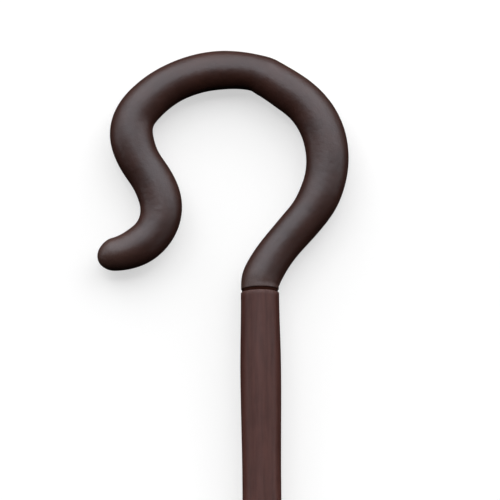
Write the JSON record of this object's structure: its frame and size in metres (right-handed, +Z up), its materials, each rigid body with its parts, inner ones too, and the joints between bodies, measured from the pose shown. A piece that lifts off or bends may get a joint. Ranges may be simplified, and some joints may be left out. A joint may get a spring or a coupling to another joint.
{
  "type": "crook-headed staff",
  "caption": "Long straight round staff with a crook head: a round tube bent over into an open hook whose rounded nose turns outwards.",
  "frame": {"origin": "on the floor, under the middle of the lying staff's outline as seen from above", "axes": "+Y along the shaft towards the crook, +X to the side away from the nose, +Z up from the floor that the staff lies on"},
  "size_m": [0.2016, 1.4076, 0.0333],
  "materials": {
    "hook_plastic": "satin dark brown moulded plastic with a broad soft grey sheen",
    "shaft_plastic": "duller reddish brown moulded plastic with a faint lengthwise grain"
  },
  "bodies": {
    "root": {"hook": "hook_plastic", "shaft": "shaft_plastic"}
  },
  "joints": []
}
